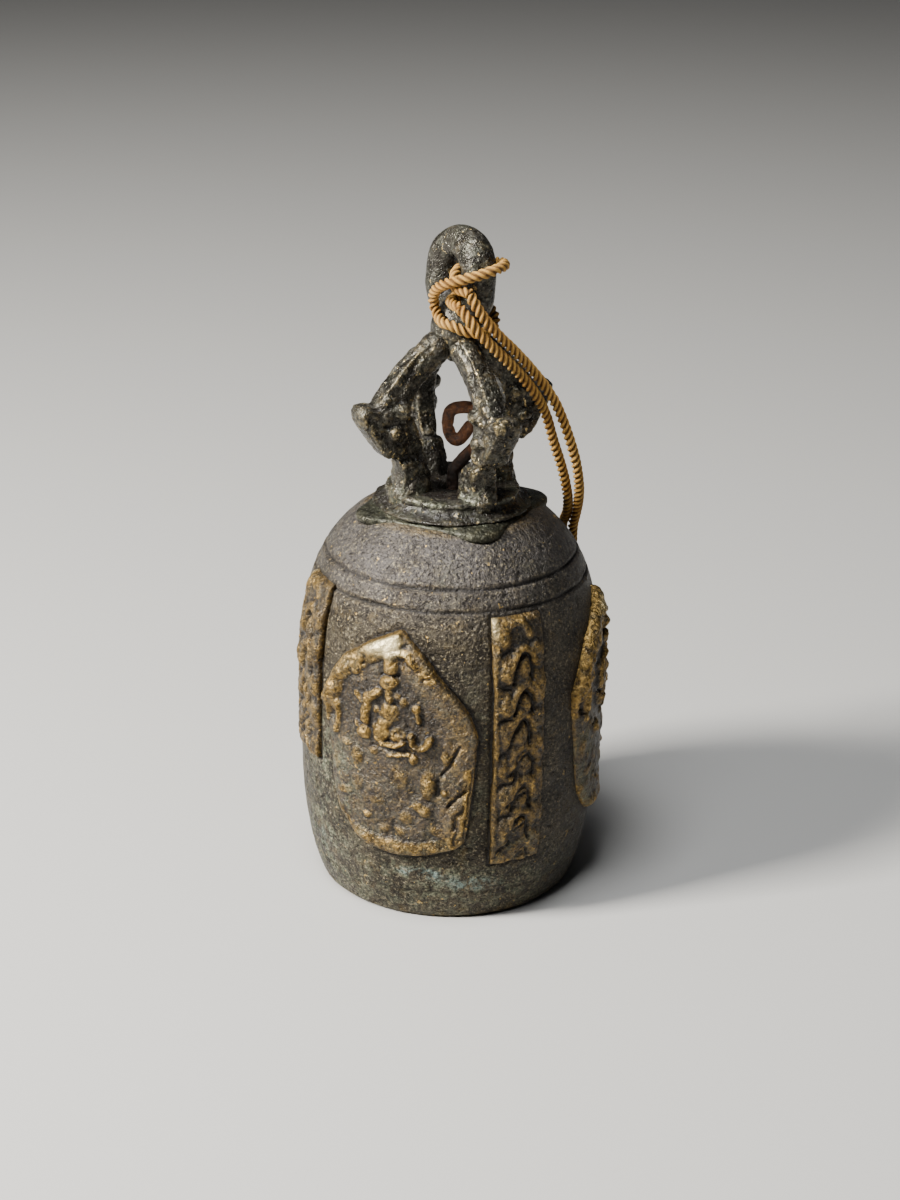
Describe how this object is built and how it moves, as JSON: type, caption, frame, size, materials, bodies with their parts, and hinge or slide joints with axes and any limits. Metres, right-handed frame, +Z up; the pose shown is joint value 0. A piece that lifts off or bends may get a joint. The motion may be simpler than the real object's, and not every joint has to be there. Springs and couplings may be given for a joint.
{
  "type": "hanging bell",
  "caption": "Barrel-shaped cast bronze hanging bell with raised plaques, a crown of crested arms under a ring, a loose clapper and a doubled cord.",
  "frame": {"origin": "centre of the rim, on the surface that the bell stands on", "axes": "+Z up along the bell's axis, -Y towards the front plaque and strip, +X to the right seen from the front"},
  "size_m": [0.056, 0.0743, 0.1198],
  "materials": {
    "bronze_body": "dark patina, worn satin",
    "bronze_relief": "rubbed golden on the high spots, dark in the hollows",
    "bronze_crown": "grey-brown patina with bright flecks",
    "bronze_dark": "dark smooth patina",
    "rusty_iron": "rusted, rough",
    "waxed_cord": "waxed three-strand twist"
  },
  "bodies": {
    "root": {"bell_shell": "bronze_body", "crown_disc": "bronze_dark", "crown_collar": "bronze_crown", "hanging_ring": "bronze_crown", "arm_left": "bronze_crown", "arm_front": "bronze_crown", "arm_right": "bronze_crown", "arm_back": "bronze_crown", "plaque_front": "bronze_relief", "plaque_right": "bronze_relief", "plaque_back": "bronze_relief", "strip_front": "bronze_relief", "strip_right": "bronze_relief", "strip_left": "bronze_relief", "cord_hitch": "waxed_cord", "cord_strand_1": "waxed_cord", "cord_strand_2": "waxed_cord", "cord_knot": "waxed_cord"},
    "hanger": {"hanger_wire": "rusty_iron"},
    "link": {"clapper_link": "rusty_iron"},
    "clapper": {"clapper_rod": "rusty_iron", "clapper_bob": "rusty_iron"}
  },
  "joints": [
    {"name": "hanger_slide", "type": "slide", "parent": "root", "child": "hanger", "axis": [0, 0, 1], "range_m": [-0.002, 0]},
    {"name": "link_swing", "type": "hinge", "parent": "hanger", "child": "link", "pos_m": [0, 0, 0.058], "axis": [1, 0, 0], "range_deg": [-5, 5]},
    {"name": "clapper_swing", "type": "hinge", "parent": "link", "child": "clapper", "pos_m": [0, 0, 0.05335], "axis": [0, 1, 0], "range_deg": [-23, 23]}
  ]
}
